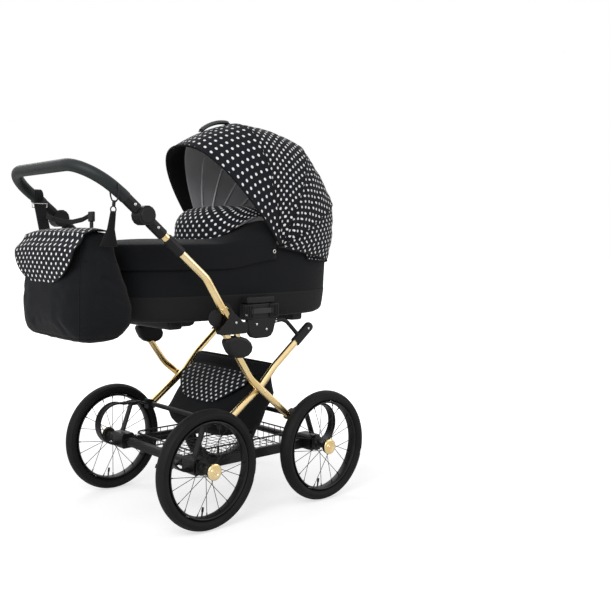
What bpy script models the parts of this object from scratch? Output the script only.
"""A retro pram: a sprung four-wheel chassis, a folding handle and a carrycot with a hood.

Metres, +Z up. +X points to the hood end, -X to the person who pushes, and the right side is -Y.
The origin lies on the floor under the middle of the object.
"""

import math

import bmesh
import bpy
from mathutils import Matrix, Vector
from mathutils.geometry import intersect_line_line_2d

# Clearances
GAP = 0.0003
RUN = 0.0005
SIDES = (-1, 1)
SIDE_NAMES = {-1: "right", 1: "left"}

# Wheels and axles
WHEEL_R = 0.180
WHEELBASE = 0.480
TRACK = 0.527
TYRE_H = 0.035
TYRE_W = 0.043
TYRE_SIDES = 8
RIM_H = 0.0065
RIM_W = 0.030
RIM_LIP = 0.004
HUB_HALF = 0.031
HUB_R = 0.012
HUB_NECK_R = 0.014
FLANGE_R = 0.023
FLANGE_T = 0.005
FLANGE_INSET = 0.004
PIN_R = 0.0048
CAP_R = 0.025
CAP_H = 0.007
SPOKES = 20
SPOKE_R = 0.001
SPOKE_END_Y = 0.003
SPOKE_LEAD = math.radians(35)
STEM_L = 0.026
STEM_R = 0.003
AXLE_R = 0.011
WHEEL_STEPS = 36
HUB_STEPS = 14
AXLE_X = WHEELBASE / 2
ENDS = (("rear", -AXLE_X), ("front", AXLE_X))

# Lower chassis: rails with axle blocks, springs, brake and basket
BRACKET_X = 0.024
BRACKET_Z = (-0.024, 0.026)
BRACKET_W = 0.0615
HUB_SPACE = 0.003
BRACKET_OUT = TRACK / 2 - HUB_HALF - HUB_SPACE
BRACKET_IN = BRACKET_OUT - BRACKET_W
BRACKET_CHAM = 0.006
RAIL_Y = (BRACKET_IN + 0.014, BRACKET_IN + 0.026)
RAIL_Z = (-0.022, 0.008)
SPRING_T = 0.006
SPRING_W = 0.030
SPRING_INNER_Y = (BRACKET_IN + 0.020, BRACKET_IN + 0.031)
SPRING_C_R = 0.068
SPRING_C_X = AXLE_X + 0.028
SPRING_C_Z = 0.238
SPRING_TOP_Z = 0.3015
SPRING_STEP = 0.008
SPRING_FLAT = 0.012
SPRING_RISE_END = 0.030
SPRING_END_ANGLE = math.radians(267)
STRUT_W = 0.020
STRUT_TOP_X = AXLE_X - 0.035
BRAKE_HALF = BRACKET_IN - 0.018
BRAKE_WALL = 0.0045
BRAKE_REACH = 0.055
BRAKE_PLATE_Y = (-0.145, -0.075)
BRAKE_PLATE_T = 0.010
BRAKE_DROP = 0.016
BRAKE_LIP = 0.004
BASKET_X = AXLE_X - 0.0195
BASKET_Y = BRACKET_IN - 0.003
BASKET_Z = (0.150, 0.212)
BASKET_T = 0.003
HOOK_Y = (BASKET_Y - 0.012, BASKET_Y - 0.002)
HOOK_T = 0.005
HOOK_LAP = (0.006, 0.010)

# Crossed legs: (x, distance from the middle, z) along each leg, and the bars at their feet
TUBE_R = 0.0115
FOOT_X = AXLE_X - 0.0944
FOOT_Z = (0.2735, 0.3065)
FOOT_L = 0.026
FOOT_HALF_W = 0.012
CROSS_TUBE_R = 0.008
CROSS_TUBE_X = FOOT_X - 0.0146
FRAME_Y = BRACKET_OUT - 0.0055
LEG_OUTER = (
    (-0.165, FRAME_Y + 0.0163, 0.598),
    (-0.082, FRAME_Y + 0.0105, 0.468),
    (CROSS_TUBE_X - 0.0135, FRAME_Y, 0.2905),
)
LEG_INNER = (
    (0.013 - CROSS_TUBE_X, FRAME_Y - 0.024, 0.2936),
    (0.050, FRAME_Y - 0.020, 0.425),
    (0.190, FRAME_Y - 0.014, 0.5455),
)
LEG_BEND_R = 0.150
SPACER_R = 0.009
LEG_END_GAP = 0.0009

# Hinge brackets and the pods below them
FOLD_X = -0.122
FOLD_Z = 0.605
FOLD_PIN_R = 0.004
BRACKET_PLATE_T = 0.004
PLATE_INNER_Y = FRAME_Y + 0.003
PLATE_OUTER_Y = FRAME_Y + 0.029
BRACKET_OUTLINE = (
    (FOLD_X - 0.028, FOLD_Z + 0.059),
    (FOLD_X - 0.062, FOLD_Z + 0.023),
    (FOLD_X - 0.058, FOLD_Z - 0.027),
    (FOLD_X - 0.048, FOLD_Z - 0.035),
    (FOLD_X + 0.044, FOLD_Z - 0.035),
    (FOLD_X + 0.052, FOLD_Z - 0.023),
    (FOLD_X - 0.010, FOLD_Z + 0.057),
)
WEB_X = (FOLD_X - 0.002, FOLD_X + 0.034)
WEB_Z = (FOLD_Z - 0.0335, FOLD_Z - 0.0265)
POD_Y = (FRAME_Y - 0.001, FRAME_Y + 0.0305)
POD_OUTLINE = (
    (FOLD_X - 0.028, FOLD_Z - 0.0495),
    (FOLD_X + 0.028, FOLD_Z - 0.043),
    (FOLD_X + 0.060, FOLD_Z - 0.049),
    (FOLD_X + 0.078, FOLD_Z - 0.063),
    (FOLD_X + 0.084, FOLD_Z - 0.083),
    (FOLD_X + 0.074, FOLD_Z - 0.104),
    (FOLD_X + 0.056, FOLD_Z - 0.115),
    (FOLD_X + 0.028, FOLD_Z - 0.1175),
    (FOLD_X + 0.004, FOLD_Z - 0.109),
    (FOLD_X - 0.018, FOLD_Z - 0.075),
)
LINK_X = FOLD_X + 0.016
LINK_Y = FRAME_Y + 0.016
LINK_R = 0.010
LINK_LOW = FOLD_Z - 0.052

# Seat mounts and the arms that hold them
MOUNT_PLATE_X = (-0.030, 0.064)
MOUNT_PLATE_Y = (FRAME_Y - 0.026, FRAME_Y - 0.010)
MOUNT_LOW = 0.543
MOUNT_BOX_X = (-0.060, 0.082)
MOUNT_BOX_Y = (FRAME_Y - 0.033, FRAME_Y - 0.002)
MOUNT_BOX_Z = (0.606, 0.655)
MOUNT_BAR_X = -0.100
MOUNT_BAR_Z = (0.584, 0.600)
MOUNT_BAR_LAP = 0.006
ARM_W = 0.011
ARM_BAR_Y = (FRAME_Y - 0.023, FRAME_Y - 0.015)
ARM_Z = 0.5945
ARM_KNEE_X = 0.118
ARM_GRAB = 0.016
INNER_CAP_L = 0.048
INNER_CAP_R = 0.0145

# Bag under the seat: it hangs from the inner legs and lies against the cross bars
UNDER_LOW = 0.224
UNDER_REAR_Z = 0.282
UNDER_TOP = 0.452
UNDER_BAND = 0.024
UNDER_HALF = FRAME_Y - 0.052
UNDER_CORNER = 0.030
UNDER_NOSE = 0.013
UNDER_NOSE_Z = 0.345

# Handle: (x, z) points and distances along the straight arm from its bend
HANDLE_R = 0.0125
HANDLE_Y = FRAME_Y + 0.016
ARM_Y = FRAME_Y + 0.020
HANDLE_TIP = (FOLD_X - 0.041, FOLD_Z + 0.037)
HANDLE_BEND = (FOLD_X - 0.111, FOLD_Z + 0.138)
HANDLE_BEND_R = 0.100
ARM_ANGLE = math.radians(39.3)
LUG_R = 0.0145
KNOB_ALONG = 0.2815
SOCKET_R = 0.0165
SOCKET_END = 0.083
NECK_HALF = 0.012
SLIDER_L = 0.062
SLIDER_R = 0.0165
SLIDER_TRAVEL = 0.015
SLIDER_SPARE = 0.004
KNOB_R = 0.0275
KNOB_Y = (ARM_Y + 0.001, ARM_Y + 0.022)
KNOB_FLOOR = ARM_Y + 0.0085
KNOB_INNER_Y = (ARM_Y - 0.019, ARM_Y + 0.0005)
BUTTON_R = 0.0222
BUTTON_Y = (ARM_Y + 0.0145, ARM_Y + 0.025)
GRIP_R = 0.0175
GRIP_START = 0.075
GRIP_FIRST = 0.012
GRIP_BAR = (-0.632, 1.057)
GRIP_CORNER_R = 0.110

# Changing bag on the handle
BAG_X = (-0.608, -0.460)
BAG_Y = (0.072 - ARM_Y, ARM_Y - 0.058)
BAG_Z = (0.558, 0.868)
BAG_CHAM = 0.022
BAG_LEVELS = ((0.0, 0.020), (0.10, 0.0), (0.55, 0.0), (0.90, 0.012), (1.0, 0.040))
BAG_FLAP_Y = (BAG_Y[0] + 0.052, BAG_Y[1] - 0.052)
BAG_FLAP_T = 0.004
BAG_FLAP_DROP = 0.165
HOOK_X = -0.540
STRAP_R = 0.0025
STRAP_TAIL = 0.030
STRAP_X = -0.535
STRAP_Z = (0.790, 0.835)

# Carrycot: (z, scale of its outline) up the tub
COT_X = 0.0075
COT_A = 0.4275
COT_B = FRAME_Y - 0.038
COT_POWER = 3.0
COT_WALL = 0.010
COT_FLOOR = 0.012
COT_LEVELS = ((0.606, 0.90), (0.618, 0.955), (0.682, 0.985), (0.800, 1.0), (0.832, 1.0))
COT_STEPS = 36
PAD_H = 0.036
PAD_SCALE = 0.90
FOOT_BAR_X = (-0.250, 0.260)
FOOT_BAR_H = 0.026
FOOT_BAR_HALF_X = 0.026
FOOT_BAR_HALF_Y = 0.120
ADAPTER_X = (-0.045, 0.068)
ADAPTER_Z = (MOUNT_BOX_Z[1] + GAP, 0.676)
ADAPTER_Y = MOUNT_PLATE_Y[1]
COVER_T = 0.003
COVER_OUT = 0.0036
COVER_X = 0.098
COVER_DROP = 0.062
COVER_CROWN = 0.019
COVER_LEVELS = ((0.0, 1.0), (0.5, 0.97), (1.0, 0.80))
FLAP_X = (-0.160, 0.085)
FLAP_CREST = 0.114
FLAP_EDGE = (0.004, 0.082)
FLAP_Y = COT_B - 0.040
FLAP_STATIONS = 9

# Hood: panels from the rear one forward, about the studs
HOOD_X = 0.110
HOOD_Z = 0.830
HOOD_RADII = (0.384, 0.392, 0.403, 0.414)
HOOD_LOW_R = 0.338
HOOD_B = COT_B + 0.0095
HOOD_STEP_B = 0.0035
HOOD_T = 0.0028
HOOD_POWER = 3.0
HOOD_LOW = math.radians(-10)
HOOD_SECTOR = math.radians(36)
HOOD_OVERLAP = math.radians(2)
HOOD_PROFILE = 18
HOOD_ARC = 5
HOOD_PIN_R = 0.007
STUD_SPARE = 0.002
CARRY_SHARES = (0.46, 0.03)
CARRY_R = 0.006
CARRY_SEAT = 0.0051
CARRY_RISE = 0.020


def clear_scene():
    """Empty the startup scene."""
    for old in list(bpy.data.objects):
        bpy.data.objects.remove(old, do_unlink=True)


def material(name, colour, roughness, metallic=0.0):
    """One Principled material."""
    mat = bpy.data.materials.new(name)
    mat.use_nodes = True
    shader = mat.node_tree.nodes["Principled BSDF"]
    shader.inputs["Base Color"].default_value = (*colour, 1.0)
    shader.inputs["Roughness"].default_value = roughness
    shader.inputs["Metallic"].default_value = metallic
    return mat


def finish(obj, mat, origin=(0.0, 0.0, 0.0)):
    """Give an object its material and move its origin to a point of the world."""
    obj.data.materials.append(mat)
    obj.data.transform(Matrix.Translation(-Vector(origin)))
    obj.location = origin
    return obj


def add_mesh(name, bm, mat, origin=(0.0, 0.0, 0.0), smooth=40):
    """Turn a bmesh into a shaded object whose faces point outwards."""
    bmesh.ops.recalc_face_normals(bm, faces=bm.faces)
    mesh = bpy.data.meshes.new(name)
    bm.to_mesh(mesh)
    bm.free()
    mesh.shade_smooth()
    mesh.set_sharp_from_angle(angle=math.radians(smooth))
    obj = bpy.data.objects.new(name, mesh)
    bpy.context.collection.objects.link(obj)
    return finish(obj, mat, origin)


def combine(obj, bm, operation):
    """Join a second shape to an object, or take it out of the object."""
    name = f"{obj.name}_{operation.lower()}_{len(obj.modifiers)}"
    other = add_mesh(name, bm, obj.data.materials[0], obj.location)
    other.hide_render = True
    other.display_type = "WIRE"
    modifier = obj.modifiers.new(operation.title(), "BOOLEAN")
    modifier.operation = operation
    modifier.object = other


def join(obj, bm):
    """Make a second shape one body with the object."""
    combine(obj, bm, "UNION")


def cut(obj, bm):
    """Take a shape out of the object."""
    combine(obj, bm, "DIFFERENCE")


def loft(bm, rings):
    """Join rings of as many points each into one closed body."""
    for lower, upper in zip(rings, rings[1:]):
        count = len(lower)
        for index in range(count):
            after = (index + 1) % count
            bm.faces.new((lower[index], lower[after], upper[after], upper[index]))
    bm.faces.new(rings[0][::-1])
    bm.faces.new(rings[-1])


def sweep(bm, route, radius, sides=10):
    """A round tube with closed ends along a route of points."""
    places = [Vector(p) for p in route]
    across = (places[1] - places[0]).orthogonal().normalized()
    rings = []
    for index, place in enumerate(places):
        before = places[max(index - 1, 0)]
        after = places[min(index + 1, len(places) - 1)]
        along = (after - before).normalized()
        across = (across - along * across.dot(along)).normalized()
        other = along.cross(across)
        ring = []
        for step in range(sides):
            angle = 2 * math.pi * step / sides
            ring.append(bm.verts.new(place + (across * math.cos(angle) + other * math.sin(angle)) * radius))
        rings.append(ring)
    loft(bm, rings)


def rounded(points, radius, steps=6, most=0.49):
    """A route with each inner corner replaced by an arc, which takes at most that share of a straight."""
    places = [Vector(p) for p in points]
    route = [places[0]]
    for before, corner, after in zip(places, places[1:], places[2:]):
        back = (before - corner).normalized()
        ahead = (after - corner).normalized()
        half = back.angle(ahead) / 2
        reach = min(radius / math.tan(half), most * min((before - corner).length, (after - corner).length))
        bend_r = reach * math.tan(half)
        centre = corner + (back + ahead).normalized() * (bend_r / math.sin(half))
        start = corner + back * reach - centre
        end = corner + ahead * reach - centre
        for step in range(steps + 1):
            route.append(centre + start.slerp(end, step / steps).normalized() * bend_r)
    route.append(places[-1])
    return route


def prism(bm, outline, low_y, high_y):
    """A solid between two Y values whose outline is given as (x, z) points."""
    face = bm.faces.new([bm.verts.new((x, low_y, z)) for x, z in outline])
    made = bmesh.ops.extrude_face_region(bm, geom=[face])
    moved = [item for item in made["geom"] if isinstance(item, bmesh.types.BMVert)]
    bmesh.ops.translate(bm, verts=moved, vec=(0.0, high_y - low_y, 0.0))


def side_prism(bm, outline, span, side):
    """A prism on one side of the pram, with its span given as distances from the middle."""
    ends = sorted(side * value for value in span)
    prism(bm, outline, *ends)


def block(bm, x_span, y_span, z_span):
    """A plain block."""
    (left, right), (low, high) = x_span, z_span
    outline = [(left, low), (right, low), (right, high), (left, high)]
    prism(bm, outline, *sorted(y_span))


def turn(bm, profile, steps, centre=(0.0, 0.0, 0.0), closed=True):
    """Turn a profile of (radius, y) points about the Y axis through the centre."""
    verts = [bm.verts.new((centre[0] + r, centre[1] + y, centre[2])) for r, y in profile]
    pairs = list(zip(verts, verts[1:]))
    if closed:
        pairs.append((verts[-1], verts[0]))
    edges = [bm.edges.new(pair) for pair in pairs]
    bmesh.ops.spin(
        bm, geom=verts + edges, angle=2 * math.pi, steps=steps, axis=(0.0, 1.0, 0.0), cent=centre
    )
    bmesh.ops.remove_doubles(bm, verts=bm.verts, dist=0.00001)


def bore_radius(radius, clearance, sides=12):
    """The radius at the corners of a bore whose flat sides clear a round piece."""
    return (radius + clearance) / math.cos(math.pi / sides)


def rod(bm, start, end, radius, sides=12):
    """A straight round rod between two points."""
    start, end = Vector(start), Vector(end)
    along = end - start
    turned = along.to_track_quat("Z", "Y").to_matrix().to_4x4()
    bmesh.ops.create_cone(
        bm,
        cap_ends=True,
        segments=sides,
        radius1=radius,
        radius2=radius,
        depth=along.length,
        matrix=Matrix.Translation((start + end) / 2) @ turned,
    )


def strip(path, thickness):
    """The outline of a flat strip bent along a path of (x, z) points."""
    places = [Vector(p) for p in path]
    upper, lower = [], []
    for index, place in enumerate(places):
        before = places[max(index - 1, 0)]
        after = places[min(index + 1, len(places) - 1)]
        along = (after - before).normalized()
        across = Vector((-along.y, along.x)) * thickness / 2
        upper.append(place + across)
        lower.append(place - across)
    return upper + lower[::-1]


def arc(centre, radius, start, end, steps):
    """Points on an arc in the XZ plane."""
    angles = [start + (end - start) * step / steps for step in range(steps + 1)]
    return [(centre[0] + radius * math.cos(a), centre[1] + radius * math.sin(a)) for a in angles]


def on_side(point, side):
    """A point given with its distance from the middle, on one side of the pram."""
    return (point[0], side * point[1], point[2])


def superellipse(half_a, half_b, power, angle):
    """A point of a superellipse."""
    c, s = math.cos(angle), math.sin(angle)
    x = math.copysign(abs(c) ** (2 / power), c) * half_a
    y = math.copysign(abs(s) ** (2 / power), s) * half_b
    return x, y


def make_tyre(name, centre, mats):
    """An air tyre."""
    bm = bmesh.new()
    middle = WHEEL_R - TYRE_H / 2
    profile = []
    for step in range(TYRE_SIDES):
        angle = 2 * math.pi * step / TYRE_SIDES
        profile.append((middle + math.cos(angle) * TYRE_H / 2, math.sin(angle) * TYRE_W / 2))
    turn(bm, profile, WHEEL_STEPS, centre)
    return add_mesh(name, bm, mats["rubber"], centre)


def flange_faces():
    """The distances of a hub flange's inner and outer face from the wheel's middle plane."""
    outside = HUB_HALF - FLANGE_INSET
    return outside - FLANGE_T, outside


def spokes(centre, lead):
    """Every second pair of spokes, which leave the flanges with the same lead."""
    bm = bmesh.new()
    flange = sum(flange_faces()) / 2 + math.copysign(SPOKE_R + GAP / 2, lead)
    start_r = FLANGE_R - 2 * SPOKE_R
    end_r = WHEEL_R - TYRE_H - GAP - RIM_H / 2
    for spoke in range(SPOKES):
        if (spoke % 4 < 2) != (lead > 0):
            continue
        flank = 1 if spoke % 2 else -1
        angle = 2 * math.pi * spoke / SPOKES
        start = (start_r * math.cos(angle - lead), flank * flange, start_r * math.sin(angle - lead))
        end = (end_r * math.cos(angle), flank * SPOKE_END_Y, end_r * math.sin(angle))
        rod(bm, Vector(start) + Vector(centre), Vector(end) + Vector(centre), SPOKE_R, 4)
    return bm


def make_wheel(name, centre, mats):
    """A hub with two flanges, crossed wire spokes and a rim with its valve stem."""
    bm = bmesh.new()
    bore = PIN_R + RUN
    neck = HUB_NECK_R
    inside, outside = flange_faces()
    profile = [(bore, -HUB_HALF), (bore, HUB_HALF), (neck, HUB_HALF), (neck, outside)]
    profile += [(FLANGE_R, outside), (FLANGE_R, inside), (HUB_R, inside), (HUB_R, -inside)]
    profile += [(FLANGE_R, -inside), (FLANGE_R, -outside), (neck, -outside), (neck, -HUB_HALF)]
    turn(bm, profile, HUB_STEPS, centre)
    wheel = add_mesh(name, bm, mats["black_metal"], centre)
    join(wheel, spokes(centre, SPOKE_LEAD))
    join(wheel, spokes(centre, -SPOKE_LEAD))
    outer = WHEEL_R - TYRE_H - GAP
    inner = outer - RIM_H
    half = RIM_W / 2
    rim = bmesh.new()
    lip = half - RIM_LIP
    turn(rim, [(outer, -half), (outer, half), (inner, lip), (inner, -lip)], WHEEL_STEPS, centre)
    join(wheel, rim)
    stem = bmesh.new()
    low = Vector(centre) + Vector((0.0, 0.0, -inner - RIM_H / 2))
    turned = Matrix.Rotation(math.pi / SPOKES, 3, "Y")
    low = Vector(centre) + turned @ (low - Vector(centre))
    rod(stem, low, low + (Vector(centre) - low).normalized() * STEM_L, STEM_R, 8)
    join(wheel, stem)
    return wheel


def make_cap(name, centre, side, mats):
    """A domed gold cap over the outer end of the hub."""
    bm = bmesh.new()
    base = HUB_HALF + GAP
    profile = [(0.0, base), (CAP_R, base), (CAP_R, base + 0.3 * CAP_H)]
    profile += [(0.88 * CAP_R, base + 0.65 * CAP_H), (0.5 * CAP_R, base + 0.93 * CAP_H), (0.0, base + CAP_H)]
    turn(bm, [(r, side * y) for r, y in profile], HUB_STEPS, centre, closed=False)
    return add_mesh(name, bm, mats["gold"], centre)


def make_wheels(mats):
    """Four equal wheels, each with a tyre, a spoked wheel body and a cap."""
    for end, x in ENDS:
        for side in SIDES:
            tag = f"{end}_{SIDE_NAMES[side]}"
            centre = (x, side * TRACK / 2, WHEEL_R)
            make_tyre("tyre_" + tag, centre, mats)
            make_wheel("wheel_" + tag, centre, mats)
            make_cap("hub_cap_" + tag, centre, side, mats)


def make_axles(mats):
    """Two bars across the pram, with a thinner pin at each end on which a hub turns."""
    shoulder = TRACK / 2 - HUB_HALF - RUN
    tip = TRACK / 2 + HUB_HALF - GAP
    profile = [(0.0, -tip), (PIN_R, -tip), (PIN_R, -shoulder), (AXLE_R, -shoulder)]
    profile += [(AXLE_R, shoulder), (PIN_R, shoulder), (PIN_R, tip), (0.0, tip)]
    for end, x in ENDS:
        bm = bmesh.new()
        turn(bm, profile, HUB_STEPS, (x, 0.0, WHEEL_R), closed=False)
        add_mesh("axle_" + end, bm, mats["black_metal"])


def make_rails(mats):
    """A flat rail on each side, with the blocks that hold the axles and carry the springs."""
    low, high = (WHEEL_R + z for z in BRACKET_Z)
    for side in SIDES:
        bm = bmesh.new()
        block(bm, (-AXLE_X, AXLE_X), [side * y for y in RAIL_Y], [WHEEL_R + z for z in RAIL_Z])
        rail = add_mesh("side_rail_" + SIDE_NAMES[side], bm, mats["black_metal"])
        blocks, bores = bmesh.new(), bmesh.new()
        for _, x in ENDS:
            left, right = x - BRACKET_X, x + BRACKET_X
            outline = [(left, low + BRACKET_CHAM), (left + BRACKET_CHAM, low), (right - BRACKET_CHAM, low)]
            outline += [(right, low + BRACKET_CHAM), (right, high - BRACKET_CHAM)]
            outline += [(right - BRACKET_CHAM, high), (left + BRACKET_CHAM, high)]
            outline.append((left, high - BRACKET_CHAM))
            side_prism(blocks, outline, (BRACKET_IN, BRACKET_OUT), side)
            rod(bores, (x, -TRACK, WHEEL_R), (x, TRACK, WHEEL_R), bore_radius(AXLE_R, GAP))
        join(rail, blocks)
        cut(rail, bores)


def spring_path():
    """The centre line of a rear spring, from the leg's foot round to the axle block."""
    top = math.asin((SPRING_TOP_Z - SPRING_C_Z) / SPRING_C_R)
    root_z = SPRING_TOP_Z - SPRING_STEP
    path = [(-FOOT_X - GAP, root_z), (-FOOT_X - SPRING_FLAT, root_z)]
    path.append((-FOOT_X - SPRING_RISE_END, SPRING_TOP_Z))
    path += arc((-SPRING_C_X, SPRING_C_Z), SPRING_C_R, top, SPRING_END_ANGLE, 14)
    path.append((-AXLE_X - BRACKET_X - GAP, path[-1][1]))
    return path


def make_springs(mats):
    """Four curled steel leaf springs, each with a straight strut down to the axle block."""
    strut_end = WHEEL_R + BRACKET_Z[1] + GAP + SPRING_T / 2
    leaf = strip(spring_path(), SPRING_T)
    strut = strip([(-STRUT_TOP_X, SPRING_TOP_Z), (-AXLE_X, strut_end)], SPRING_T)
    spare = (SPRING_W - STRUT_W) / 2
    for (end, end_x), inner_y in zip(ENDS, SPRING_INNER_Y):
        way = math.copysign(1.0, end_x)
        for side in SIDES:
            bm = bmesh.new()
            side_prism(bm, [(-way * x, z) for x, z in leaf], (inner_y, inner_y + SPRING_W), side)
            spring = add_mesh(f"spring_{end}_{SIDE_NAMES[side]}", bm, mats["black_metal"])
            brace = bmesh.new()
            span = (inner_y + spare, inner_y + SPRING_W - spare)
            side_prism(brace, [(-way * x, z) for x, z in strut], span, side)
            join(spring, brace)


def make_brake(mats):
    """The parking brake: a sleeve on the rear axle with a foot plate at its right end."""
    bm = bmesh.new()
    x = -AXLE_X
    bore, outer = AXLE_R + RUN, AXLE_R + RUN + BRAKE_WALL
    profile = [(bore, -BRAKE_HALF), (bore, BRAKE_HALF), (outer, BRAKE_HALF), (outer, -BRAKE_HALF)]
    turn(bm, profile, HUB_STEPS, (x, 0.0, WHEEL_R))
    brake = add_mesh("brake_pedal", bm, mats["black_plastic"], (x, 0.0, WHEEL_R))
    root = x - (bore + outer) / 2
    tip = x - BRAKE_REACH
    half = BRAKE_PLATE_T / 2
    outline = [(root, WHEEL_R + half), (tip, WHEEL_R - BRAKE_DROP)]
    outline += [(tip - BRAKE_LIP, WHEEL_R - BRAKE_DROP - 2 * half), (root, WHEEL_R - half)]
    plate = bmesh.new()
    prism(plate, outline, *BRAKE_PLATE_Y)
    join(brake, plate)


def make_basket(mats):
    """The shallow wire basket, as an open tray of its outer shape that hooks on the axles."""
    bm = bmesh.new()
    block(bm, (-BASKET_X, BASKET_X), (-BASKET_Y, BASKET_Y), BASKET_Z)
    basket = add_mesh("basket", bm, mats["black_metal"])
    t = BASKET_T
    inside = bmesh.new()
    inner_z = (BASKET_Z[0] + t, 2 * BASKET_Z[1])
    block(inside, (t - BASKET_X, BASKET_X - t), (t - BASKET_Y, BASKET_Y - t), inner_z)
    cut(basket, inside)
    seat = WHEEL_R + AXLE_R + GAP + HOOK_T / 2
    hooks = bmesh.new()
    for _, x in ENDS:
        way = math.copysign(1.0, x)
        path = [(way * (BASKET_X - t / 2), BASKET_Z[1] - HOOK_T)]
        path += [(x - way * HOOK_LAP[0], seat), (x + way * HOOK_LAP[1], seat)]
        for side in SIDES:
            side_prism(hooks, strip(path, HOOK_T), HOOK_Y, side)
    join(basket, hooks)


def make_legs(mats):
    """Two crossed gold legs on each side, with a spacer between them."""
    x, z = leg_crossing()
    outer_y, inner_y = crossing_ys()
    for side in SIDES:
        for name, points in (("leg_outer_", LEG_OUTER), ("leg_inner_", LEG_INNER)):
            bm = bmesh.new()
            sweep(bm, rounded([on_side(p, side) for p in points], LEG_BEND_R), TUBE_R)
            leg = add_mesh(name + SIDE_NAMES[side], bm, mats["gold"])
        spacer = bmesh.new()
        ends = [(x, side * y, z) for y in (inner_y, outer_y - TUBE_R - GAP)]
        rod(spacer, *ends, SPACER_R)
        join(leg, spacer)


def leg_crossing():
    """The point (x, z) where the two legs of a side cross, seen from the side."""
    ends = [(p[0], p[2]) for p in (*LEG_OUTER[1:], *LEG_INNER[:2])]
    return intersect_line_line_2d(*ends)


def crossing_ys():
    """The distances of the outer and the inner leg from the middle where they cross."""
    x, _ = leg_crossing()
    share_outer = (x - LEG_OUTER[1][0]) / (LEG_OUTER[2][0] - LEG_OUTER[1][0])
    share_inner = (x - LEG_INNER[0][0]) / (LEG_INNER[1][0] - LEG_INNER[0][0])
    outer = LEG_OUTER[1][1] + share_outer * (LEG_OUTER[2][1] - LEG_OUTER[1][1])
    inner = LEG_INNER[0][1] + share_inner * (LEG_INNER[1][1] - LEG_INNER[0][1])
    return outer, inner


def foot_outline(end, before, way):
    """The outline of the foot that joins a leg's lower end to its spring."""
    along = Vector((end[0] - before[0], end[2] - before[2])).normalized()
    across = Vector((-along.y, along.x)) * way * 1.1 * TUBE_R
    start = Vector((end[0], end[2])) + along * LEG_END_GAP
    x = way * FOOT_X
    far = [(x, FOOT_Z[1]), (x, FOOT_Z[0]), (x - way * FOOT_L, FOOT_Z[0])]
    return [tuple(start + across)] + far + [tuple(start - across)]


def make_cross_bars(mats):
    """At each end a tube across the pram, with a foot on it for each leg."""
    z = sum(FOOT_Z) / 2
    for (name, end_x), points in zip(ENDS, (LEG_INNER[::-1], LEG_OUTER)):
        way = math.copysign(1.0, end_x)
        end, before = points[-1], points[-2]
        bm = bmesh.new()
        rod(bm, (way * CROSS_TUBE_X, -end[1], z), (way * CROSS_TUBE_X, end[1], z), CROSS_TUBE_R)
        bar = add_mesh("cross_bar_" + name, bm, mats["black_plastic"])
        feet = bmesh.new()
        for side in SIDES:
            span = (end[1] - FOOT_HALF_W, end[1] + FOOT_HALF_W)
            side_prism(feet, foot_outline(end, before, way), span, side)
        join(bar, feet)


def make_hinge_brackets(mats):
    """Two plates on each side with the fold pin and a web between them."""
    inner = (PLATE_INNER_Y - BRACKET_PLATE_T, PLATE_INNER_Y)
    outer = (PLATE_OUTER_Y, PLATE_OUTER_Y + BRACKET_PLATE_T)
    through = (sum(inner) / 2, sum(outer) / 2)
    web = [(WEB_X[0], WEB_Z[0]), (WEB_X[1], WEB_Z[0]), (WEB_X[1], WEB_Z[1]), (WEB_X[0], WEB_Z[1])]
    for side in SIDES:
        bm = bmesh.new()
        side_prism(bm, BRACKET_OUTLINE, inner, side)
        bracket = add_mesh("hinge_bracket_" + SIDE_NAMES[side], bm, mats["black_plastic"])
        middle = bmesh.new()
        rod(middle, (FOLD_X, side * through[0], FOLD_Z), (FOLD_X, side * through[1], FOLD_Z), FOLD_PIN_R)
        side_prism(middle, web, through, side)
        join(bracket, middle)
        plate = bmesh.new()
        side_prism(plate, BRACKET_OUTLINE, outer, side)
        join(bracket, plate)


def make_pods(mats):
    """A rounded pod on each outer leg, with a short tube up to the hinge bracket."""
    top, bend = Vector(LEG_OUTER[0]), Vector(LEG_OUTER[1])
    for side in SIDES:
        bm = bmesh.new()
        side_prism(bm, POD_OUTLINE, POD_Y, side)
        pod = add_mesh("leg_pod_" + SIDE_NAMES[side], bm, mats["black_plastic"])
        tube = bmesh.new()
        rod(tube, (LINK_X, side * LINK_Y, WEB_Z[0] - GAP), (LINK_X, side * LINK_Y, LINK_LOW), LINK_R)
        join(pod, tube)
        bore = bmesh.new()
        above = top + (top - bend) * 0.2
        rod(bore, on_side(above, side), on_side(bend, side), bore_radius(TUBE_R, GAP))
        cut(pod, bore)


def make_mounts(mats):
    """The seat mount on each side: a box on a rounded plate, and a bar back to the hinge."""
    middle = sum(MOUNT_PLATE_X) / 2
    reach = (MOUNT_PLATE_X[1] - MOUNT_PLATE_X[0]) / 2
    top = (MOUNT_BOX_Z[0] + MOUNT_BOX_Z[1]) / 2
    outline = [(MOUNT_PLATE_X[1], top), (MOUNT_PLATE_X[0], top)]
    outline += arc((middle, MOUNT_LOW + reach), reach, math.pi, 2 * math.pi, 10)
    low, high = MOUNT_BAR_Z
    bar = [(MOUNT_BAR_X, high), (MOUNT_BAR_X, low), (middle, low), (middle, high)]
    bar_y = (MOUNT_PLATE_Y[1] - MOUNT_BAR_LAP, PLATE_INNER_Y - BRACKET_PLATE_T - GAP)
    for side in SIDES:
        bm = bmesh.new()
        block(bm, MOUNT_BOX_X, [side * y for y in MOUNT_BOX_Y], MOUNT_BOX_Z)
        mount = add_mesh("seat_mount_" + SIDE_NAMES[side], bm, mats["black_plastic"])
        for shape, span in ((outline, MOUNT_PLATE_Y), (bar, bar_y)):
            piece = bmesh.new()
            side_prism(piece, shape, span, side)
            join(mount, piece)


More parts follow.
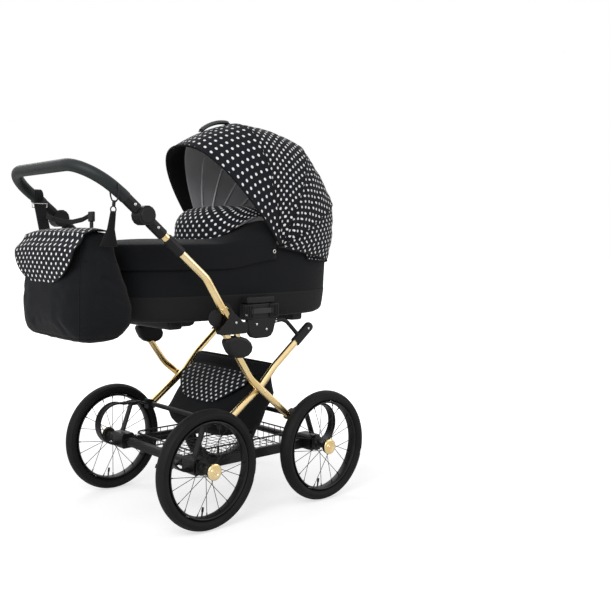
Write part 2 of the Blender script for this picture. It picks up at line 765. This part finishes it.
def make_link_arms(mats):
    """The cap on each inner leg's top, with the bar that holds the seat mount."""
    tip, before = Vector(LEG_INNER[-1]), Vector(LEG_INNER[-2])
    along = (tip - before).normalized()
    grab = tip + along * ARM_GRAB
    path = [(MOUNT_PLATE_X[1] + RUN, ARM_Z), (ARM_KNEE_X, ARM_Z), (grab.x, grab.z)]
    for side in SIDES:
        bm = bmesh.new()
        rod(bm, on_side(tip + along * GAP, side), on_side(tip + along * INNER_CAP_L, side), INNER_CAP_R)
        arm = add_mesh("link_arm_" + SIDE_NAMES[side], bm, mats["black_plastic"])
        bar = bmesh.new()
        side_prism(bar, strip(path, ARM_W), ARM_BAR_Y, side)
        join(arm, bar)


def box_ring(bm, x_span, y_span, z, chamfer):
    """One level of a soft box with cut corners."""
    (lx, hx), (ly, hy) = x_span, y_span
    corners = [(lx + chamfer, ly), (hx - chamfer, ly), (hx, ly + chamfer), (hx, hy - chamfer)]
    corners += [(hx - chamfer, hy), (lx + chamfer, hy), (lx, hy - chamfer), (lx, ly + chamfer)]
    return [bm.verts.new((x, y, z)) for x, y in corners]


def inner_leg_at(z):
    """The x and the distance from the middle of an inner leg at a height."""
    for low, high in zip(LEG_INNER, LEG_INNER[1:]):
        if z <= high[2]:
            share = (z - low[2]) / (high[2] - low[2])
            return low[0] + share * (high[0] - low[0]), low[1] + share * (high[1] - low[1])
    return LEG_INNER[-1][:2]


def under_bag_levels():
    """The bag's levels (z, rear x, front x, half width), whose rear panel lies between the inner legs."""
    wall = CROSS_TUBE_X - CROSS_TUBE_R - GAP
    tube_top = sum(FOOT_Z) / 2 + CROSS_TUBE_R + 0.001
    top_x, top_y = inner_leg_at(UNDER_TOP)
    nose = CROSS_TUBE_X + UNDER_NOSE
    levels = [(UNDER_LOW, 0.045 - wall, wall - 0.045, UNDER_HALF - 0.055)]
    levels.append((UNDER_LOW + 0.026, 0.014 - wall, wall - 0.018, UNDER_HALF - 0.022))
    levels.append((UNDER_REAR_Z, -wall, wall - 0.004, UNDER_HALF - 0.010))
    levels.append((tube_top, inner_leg_at(tube_top)[0], wall - 0.001, UNDER_HALF - 0.006))
    for z, front, narrower in ((tube_top + 0.019, nose - 0.007, 0.003), (UNDER_NOSE_Z, nose, 0.0)):
        levels.append((z, inner_leg_at(z)[0], front, UNDER_HALF - narrower))
    z = UNDER_NOSE_Z + 0.027
    levels.append((z, inner_leg_at(z)[0], nose - 0.013, UNDER_HALF + 0.003))
    levels.append((UNDER_TOP, top_x - UNDER_BAND / 2, top_x + UNDER_BAND / 2, top_y - TUBE_R - GAP))
    return levels


def make_under_bag(mats):
    """The soft bag that hangs between the legs."""
    bm = bmesh.new()
    rings = []
    for z, rear, front, half in under_bag_levels():
        corner = min(UNDER_CORNER, 0.3 * (front - rear))
        rings.append(box_ring(bm, (rear, front), (-half, half), z, corner))
    loft(bm, rings)
    return add_mesh("under_bag", bm, mats["fabric"], smooth=60)


def arm_point(along):
    """A point (x, z) on the handle's straight arm, by its distance from the bend."""
    return (
        HANDLE_BEND[0] - math.cos(ARM_ANGLE) * along,
        HANDLE_BEND[1] + math.sin(ARM_ANGLE) * along,
    )


def arm_place(along, side):
    """The same point in the world, on one side."""
    x, z = arm_point(along)
    return (x, side * ARM_Y, z)


def fold_origin():
    """The point on the fold axis where the handle's pieces have their origin."""
    return (FOLD_X, 0.0, FOLD_Z)


def make_handle_tubes(mats):
    """The bent gold tube on each side, with the lug on its end that turns on the fold pin."""
    top = KNOB_ALONG - SOCKET_END - GAP
    tip = Vector(HANDLE_TIP)
    along = (tip - Vector(HANDLE_BEND)).normalized()
    across = Vector((-along.y, along.x)) * 0.8 * HANDLE_R
    root = tip - along * HANDLE_R
    outline = [tuple(root - across), tuple(root + across)]
    outline += arc((FOLD_X, FOLD_Z), LUG_R, math.radians(80), math.radians(-130), 8)
    for side in SIDES:
        points = [(HANDLE_TIP[0], side * HANDLE_Y, HANDLE_TIP[1])]
        points.append((HANDLE_BEND[0], side * ARM_Y, HANDLE_BEND[1]))
        points.append(arm_place(top, side))
        bm = bmesh.new()
        sweep(bm, rounded(points, HANDLE_BEND_R), HANDLE_R)
        tube = add_mesh("handle_tube_" + SIDE_NAMES[side], bm, mats["gold"], fold_origin())
        lug = bmesh.new()
        side_prism(lug, outline, (PLATE_INNER_Y + RUN, PLATE_OUTER_Y - RUN), side)
        join(tube, lug)
        bore = bmesh.new()
        rod(bore, (FOLD_X, 0.0, FOLD_Z), (FOLD_X, side * TRACK, FOLD_Z), bore_radius(FOLD_PIN_R, GAP))
        cut(tube, bore)


def knob_origin():
    """The point on the handle joint's axis where the grip's pieces have their origin."""
    x, z = arm_point(KNOB_ALONG)
    return (x, 0.0, z)


def along_arm(low, high, half):
    """The outline of a flat neck along the handle's arm."""
    side_step = Vector((math.sin(ARM_ANGLE), math.cos(ARM_ANGLE))) * half
    near, far = Vector(arm_point(low)), Vector(arm_point(high))
    return [tuple(near - side_step), tuple(near + side_step), tuple(far + side_step), tuple(far - side_step)]


def make_handle_sockets(mats):
    """The lower half of each handle joint: a sleeve on the tube and a round cup outside."""
    for side in SIDES:
        bm = bmesh.new()
        low, high = KNOB_Y
        profile = [(0.0, low), (KNOB_R, low), (KNOB_R, high), (BUTTON_R + RUN, high)]
        profile += [(BUTTON_R + RUN, KNOB_FLOOR), (0.0, KNOB_FLOOR)]
        turn(bm, [(r, side * y) for r, y in profile], HUB_STEPS, knob_origin(), closed=False)
        socket = add_mesh("handle_socket_" + SIDE_NAMES[side], bm, mats["black_plastic"], fold_origin())
        neck = bmesh.new()
        outline = along_arm(KNOB_ALONG - SOCKET_END / 2, KNOB_ALONG - 0.6 * KNOB_R, NECK_HALF)
        side_prism(neck, outline, (KNOB_Y[0] + RUN, KNOB_FLOOR), side)
        join(socket, neck)
        sleeve = bmesh.new()
        start = arm_place(KNOB_ALONG - SOCKET_END, side)
        rod(sleeve, start, arm_place(KNOB_ALONG - KNOB_R - GAP, side), SOCKET_R)
        join(socket, sleeve)


def slider_start():
    """The upper end of a fold slider, as a distance along the arm."""
    return KNOB_ALONG - SOCKET_END - SLIDER_TRAVEL - SLIDER_SPARE


def make_sliders(mats):
    """The fold release on each handle tube: a collar that is pulled up towards the grip."""
    start = slider_start()
    for side in SIDES:
        bm = bmesh.new()
        high, low = arm_place(start, side), arm_place(start - SLIDER_L, side)
        rod(bm, high, low, SLIDER_R)
        slider = add_mesh("fold_slider_" + SIDE_NAMES[side], bm, mats["black_plastic"], low)
        bore = bmesh.new()
        above, below = arm_place(start + SLIDER_L, side), arm_place(start - 2 * SLIDER_L, side)
        rod(bore, above, below, bore_radius(HANDLE_R, RUN))
        cut(slider, bore)


def make_buttons(mats):
    """The round push button in the cup of each handle joint."""
    low, high = BUTTON_Y
    edge = 0.002
    profile = [(0.0, low), (BUTTON_R, low), (BUTTON_R, high - edge), (BUTTON_R - edge, high), (0.0, high)]
    x, _, z = knob_origin()
    for side in SIDES:
        bm = bmesh.new()
        turn(bm, [(r, side * y) for r, y in profile], HUB_STEPS, knob_origin(), closed=False)
        add_mesh("joint_button_" + SIDE_NAMES[side], bm, mats["black_plastic"], (x, side * low, z))


def make_grip_sockets(mats):
    """The upper half of each handle joint, which holds the grip."""
    low, high = KNOB_INNER_Y
    for side in SIDES:
        bm = bmesh.new()
        profile = [(0.0, low), (KNOB_R, low), (KNOB_R, high), (0.0, high)]
        turn(bm, [(r, side * y) for r, y in profile], HUB_STEPS, knob_origin(), closed=False)
        socket = add_mesh("grip_socket_" + SIDE_NAMES[side], bm, mats["black_plastic"], knob_origin())
        neck = bmesh.new()
        outline = along_arm(KNOB_ALONG + 0.6 * KNOB_R, KNOB_ALONG + 0.7 * GRIP_START, NECK_HALF)
        side_prism(neck, outline, (ARM_Y - 0.7 * SOCKET_R, high - RUN), side)
        join(socket, neck)
        sleeve = bmesh.new()
        start = arm_place(KNOB_ALONG + KNOB_R + GAP, side)
        rod(sleeve, start, arm_place(KNOB_ALONG + GRIP_START - GAP, side), SOCKET_R)
        join(socket, sleeve)


def make_grip(mats):
    """The padded grip: one loop from the right handle joint across to the left one."""
    half = [arm_place(KNOB_ALONG + GRIP_START, -1), arm_place(KNOB_ALONG + GRIP_START + GRIP_FIRST, -1)]
    half.append((GRIP_BAR[0], -ARM_Y, GRIP_BAR[1]))
    other = [(x, -y, z) for x, y, z in half[::-1]]
    bm = bmesh.new()
    sweep(bm, rounded(half + other, GRIP_CORNER_R, 8, 0.8), GRIP_R)
    return add_mesh("grip", bm, mats["leather"], knob_origin())


def swing_origin():
    """The point on the axis about which the changing bag swings: the straps' bars over the grip."""
    start = Vector(arm_point(KNOB_ALONG + GRIP_START + GRIP_FIRST))
    along = (Vector(GRIP_BAR) - start).normalized()
    place = start + along * ((HOOK_X - start.x) / along.x)
    place += Vector((along.y, -along.x)) * (GRIP_R + STRAP_R + GAP)
    return (place.x, 0.0, place.y)


def make_bag(mats):
    """The changing bag behind the carrycot, as one closed body with a narrower top."""
    bm = bmesh.new()
    rings = []
    for share, inset in BAG_LEVELS:
        x_span = (BAG_X[0] + inset, BAG_X[1] - inset)
        y_span = (BAG_Y[0] + inset, BAG_Y[1] - inset)
        rings.append(box_ring(bm, x_span, y_span, BAG_Z[0] + share * (BAG_Z[1] - BAG_Z[0]), BAG_CHAM))
    loft(bm, rings)
    return add_mesh("changing_bag", bm, mats["fabric"], swing_origin(), smooth=60)


def bag_inset(z):
    """How far the bag's sides stand in from its full width at a height."""
    share = (z - BAG_Z[0]) / (BAG_Z[1] - BAG_Z[0])
    for (low, low_inset), (high, high_inset) in zip(BAG_LEVELS, BAG_LEVELS[1:]):
        if share <= high:
            return low_inset + (high_inset - low_inset) * (share - low) / (high - low)
    return BAG_LEVELS[-1][1]


def bag_flap_path():
    """The flap's section (x, z): from its hinge over the top and down the rear face."""
    top = BAG_Z[1] + GAP + BAG_FLAP_T / 2
    rear = BAG_X[0] - BAG_FLAP_T / 2 - GAP
    path = [(BAG_X[1] - BAG_LEVELS[-1][1], top), (BAG_X[0] + BAG_LEVELS[-1][1] - 0.004, top)]
    return path + [(rear, BAG_Z[1] - 0.040), (rear, BAG_Z[1] - BAG_FLAP_DROP)]


def make_bag_flap(mats):
    """The bag's flap, which lifts about its front edge."""
    bm = bmesh.new()
    prism(bm, strip(bag_flap_path(), BAG_FLAP_T), *BAG_FLAP_Y)
    x, z = bag_flap_path()[0]
    return add_mesh("bag_flap", bm, mats["dots"], (x, 0.0, z))


def make_bag_straps(mats):
    """The strap on each side that hooks over the grip's arm and carries the bag."""
    x, _, z = swing_origin()
    reach = GRIP_R + STRAP_R + 2 * GAP
    for side, bag_y in zip(SIDES, BAG_Y):
        beside = bag_y + side * (STRAP_R + GAP - bag_inset(STRAP_Z[0]))
        inner, outer = side * (ARM_Y - reach), side * (ARM_Y + reach)
        route = [(x, outer, z - STRAP_TAIL), (x, outer, z), (x, inner, z), (x, inner, z - STRAP_TAIL)]
        route += [(STRAP_X, beside, STRAP_Z[1]), (STRAP_X, beside, STRAP_Z[0])]
        bm = bmesh.new()
        sweep(bm, rounded(route, 2 * STRAP_R, 2), STRAP_R, 6)
        add_mesh("bag_strap_" + SIDE_NAMES[side], bm, mats["fabric"], swing_origin())


def cot_ring(bm, z, scale, steps=COT_STEPS, inset=0.0):
    """One level of the carrycot's rounded outline."""
    ring = []
    for step in range(steps):
        angle = 2 * math.pi * (step + 0.5) / steps
        x, y = superellipse(COT_A * scale - inset, COT_B * scale - inset, COT_POWER, angle)
        ring.append(bm.verts.new((COT_X + x, y, z)))
    return ring


def make_cot_shell(mats):
    """The carrycot's tub, with its feet, its lugs for the seat mounts and the hood's studs."""
    bm = bmesh.new()
    rings = [cot_ring(bm, z, scale) for z, scale in COT_LEVELS]
    rings += [cot_ring(bm, z, scale, inset=COT_WALL) for z, scale in COT_LEVELS[:1:-1]]
    rings.append(cot_ring(bm, COT_LEVELS[0][0] + COT_FLOOR, COT_LEVELS[1][1], inset=COT_WALL))
    loft(bm, rings)
    shell = add_mesh("carrycot_shell", bm, mats["fabric"], smooth=50)
    extras = bmesh.new()
    base = COT_LEVELS[0][0]
    for x in FOOT_BAR_X:
        block(extras, (x - FOOT_BAR_HALF_X, x + FOOT_BAR_HALF_X), (-FOOT_BAR_HALF_Y, FOOT_BAR_HALF_Y), (
            base - FOOT_BAR_H, base + COT_FLOOR / 2,
        ))
    in_wall = COT_B * COT_LEVELS[1][1] - COT_WALL / 4
    stud_tip = HOOD_B + HOOD_STEP_B * (len(HOOD_RADII) - 1) + STUD_SPARE
    for side in SIDES:
        block(extras, ADAPTER_X, (side * in_wall, side * ADAPTER_Y), ADAPTER_Z)
        stud = (COT_B - COT_WALL / 2, stud_tip)
        rod(extras, (HOOD_X, side * stud[0], HOOD_Z), (HOOD_X, side * stud[1], HOOD_Z), HOOD_PIN_R)
    join(shell, extras)


def make_mattress(mats):
    """The mattress on the carrycot's floor."""
    bm = bmesh.new()
    low = COT_LEVELS[0][0] + COT_FLOOR + GAP
    high = low + PAD_H
    rings = []
    for z, scale in ((low, 0.985), (low + 0.010, 1.0), (high - 0.010, 1.0), (high, 0.97)):
        rings.append(cot_ring(bm, z, PAD_SCALE * scale, 28))
    loft(bm, rings)
    return add_mesh("mattress", bm, mats["lining"], smooth=60)


def cover_body(bm, low, scale, lift):
    """A closed body with the cover's crowned shape."""
    top = COT_LEVELS[-1][0] + lift
    rings = [cot_ring(bm, low, scale)]
    rings += [cot_ring(bm, top + rise * COVER_CROWN, scale * share) for rise, share in COVER_LEVELS]
    loft(bm, rings)


def make_apron(mats):
    """The cover over the foot half of the carrycot, with the padded wind flap on it."""
    top = COT_LEVELS[-1][0]
    out = 1.0 + COVER_OUT / COT_B
    bm = bmesh.new()
    cover_body(bm, top - COVER_DROP, out, GAP + COVER_T)
    apron = add_mesh("apron", bm, mats["fabric"], smooth=60)
    inside = bmesh.new()
    cover_body(inside, top - 2 * COVER_DROP, out - COVER_T / COT_B, GAP)
    cut(apron, inside)
    ahead = bmesh.new()
    block(ahead, (COVER_X, 2 * COT_A), (-COT_A, COT_A), (0.0, 2 * top))
    cut(apron, ahead)
    base = top + GAP + COVER_CROWN + COVER_T / 2
    flap = bmesh.new()
    rings = []
    for index in range(FLAP_STATIONS):
        share = index / (FLAP_STATIONS - 1)
        x = FLAP_X[0] + share * (FLAP_X[1] - FLAP_X[0])
        crest = FLAP_CREST * math.sin(math.pi / 2 * min(1.0, 0.35 + 1.3 * share)) ** 0.8
        edge = FLAP_EDGE[0] + share * (FLAP_EDGE[1] - FLAP_EDGE[0])
        ring = [(x, FLAP_Y, base)]
        for step in range(FLAP_STATIONS):
            angle = math.pi * step / (FLAP_STATIONS - 1)
            bulge = max(math.sin(angle), 0.0) ** (4.0 - 2.8 * share)
            ring.append((x, FLAP_Y * math.cos(angle), base + edge + (crest - edge) * bulge))
        ring.append((x, -FLAP_Y, base))
        rings.append([flap.verts.new(p) for p in ring])
    loft(flap, rings)
    join(apron, flap)


def hood_ring(bm, angle, radius, half_width):
    """One bow line of the hood: from one stud up over the crown to the other."""
    ring = []
    for step in range(HOOD_PROFILE + 1):
        y, r = superellipse(half_width, radius, HOOD_POWER, math.pi * step / HOOD_PROFILE)
        r = max(r, HOOD_PIN_R + RUN)
        ring.append(bm.verts.new((HOOD_X + r * math.cos(angle), y, HOOD_Z + r * math.sin(angle))))
    return ring


def make_hood_panel(name, number, mats):
    """One panel of the hood: a thin shell about the studs, which slides over the next one."""
    bm = bmesh.new()
    low = HOOD_LOW + number * HOOD_SECTOR
    last = number == len(HOOD_RADII) - 1
    high = low + HOOD_SECTOR + (0.0 if last else HOOD_OVERLAP)
    half_width = HOOD_B + number * HOOD_STEP_B
    outer, inner = [], []
    for step in range(HOOD_ARC + 1):
        share = step / HOOD_ARC
        angle = low + (high - low) * share
        radius = HOOD_RADII[number]
        if number == 0:
            radius = HOOD_LOW_R + (radius - HOOD_LOW_R) * math.sin(share * math.pi / 2)
        outer.append(hood_ring(bm, angle, radius, half_width))
        inner.append(hood_ring(bm, angle, radius - HOOD_T, half_width - HOOD_T))
    for rows in (outer, inner):
        for first, second in zip(rows, rows[1:]):
            for index in range(HOOD_PROFILE):
                bm.faces.new((first[index], first[index + 1], second[index + 1], second[index]))
    for index in range(HOOD_PROFILE):
        for row in (0, -1):
            corners = [outer[row][index], outer[row][index + 1]]
            bm.faces.new(corners + [inner[row][index + 1], inner[row][index]])
    for step in range(HOOD_ARC):
        for end in (0, -1):
            bm.faces.new((outer[step][end], outer[step + 1][end], inner[step + 1][end], inner[step][end]))
    return add_mesh(name, bm, mats["dots"], (HOOD_X, 0.0, HOOD_Z), smooth=60)


def make_hood(mats):
    """The hood's four panels, of which the rear one stays on the carrycot."""
    for number, name in enumerate(("hood_rear", "hood_panel_low", "hood_panel_high", "hood_front")):
        make_hood_panel(name, number, mats)


def make_carry_handle(mats):
    """The leather carry handle on the hood's front panel."""
    bm = bmesh.new()
    low = HOOD_LOW + (len(HOOD_RADII) - 1) * HOOD_SECTOR
    ends = [low + HOOD_SECTOR * share for share in CARRY_SHARES]
    steps = 10
    route = []
    for step in range(steps + 1):
        share = step / steps
        angle = ends[0] + share * (ends[1] - ends[0])
        r = HOOD_RADII[-1] + CARRY_SEAT + CARRY_RISE * max(math.sin(math.pi * share), 0.0) ** 0.7
        route.append((HOOD_X + r * math.cos(angle), 0.0, HOOD_Z + r * math.sin(angle)))
    sweep(bm, route, CARRY_R, 8)
    return add_mesh("carry_handle", bm, mats["leather"], (HOOD_X, 0.0, HOOD_Z))


def centre_over_origin():
    """Move everything along X, so that the origin lies under the middle of the object."""
    bpy.context.view_layer.update()
    graph = bpy.context.evaluated_depsgraph_get()
    ends = []
    for obj in bpy.data.objects:
        if not obj.hide_render:
            evaluated = obj.evaluated_get(graph)
            ends += [(evaluated.matrix_world @ Vector(corner)).x for corner in evaluated.bound_box]
    shift = -(min(ends) + max(ends)) / 2
    for obj in bpy.data.objects:
        obj.location.x += shift
    print("moved along X by", round(shift, 6))


def main():
    clear_scene()
    mats = {
        "rubber": material("tyre_rubber", (0.012, 0.012, 0.013), 0.75),
        "black_metal": material("black_metal", (0.016, 0.016, 0.018), 0.45, 0.3),
        "black_plastic": material("black_plastic", (0.022, 0.022, 0.024), 0.55),
        "gold": material("gold_tube", (0.83, 0.60, 0.27), 0.18, 1.0),
        "fabric": material("black_fabric", (0.010, 0.011, 0.014), 0.9),
        "dots": material("dotted_fabric", (0.014, 0.015, 0.022), 0.9),
        "leather": material("grip_leather", (0.020, 0.026, 0.026), 0.5),
        "lining": material("grey_lining", (0.12, 0.12, 0.13), 0.4),
    }
    make_wheels(mats)
    make_axles(mats)
    make_rails(mats)
    make_springs(mats)
    make_brake(mats)
    make_basket(mats)
    make_legs(mats)
    make_cross_bars(mats)
    make_hinge_brackets(mats)
    make_pods(mats)
    make_mounts(mats)
    make_link_arms(mats)
    make_under_bag(mats)
    make_handle_tubes(mats)
    make_handle_sockets(mats)
    make_sliders(mats)
    make_buttons(mats)
    make_grip_sockets(mats)
    make_grip(mats)
    make_bag(mats)
    make_bag_flap(mats)
    make_bag_straps(mats)
    make_cot_shell(mats)
    make_mattress(mats)
    make_apron(mats)
    make_hood(mats)
    make_carry_handle(mats)
    centre_over_origin()


main()
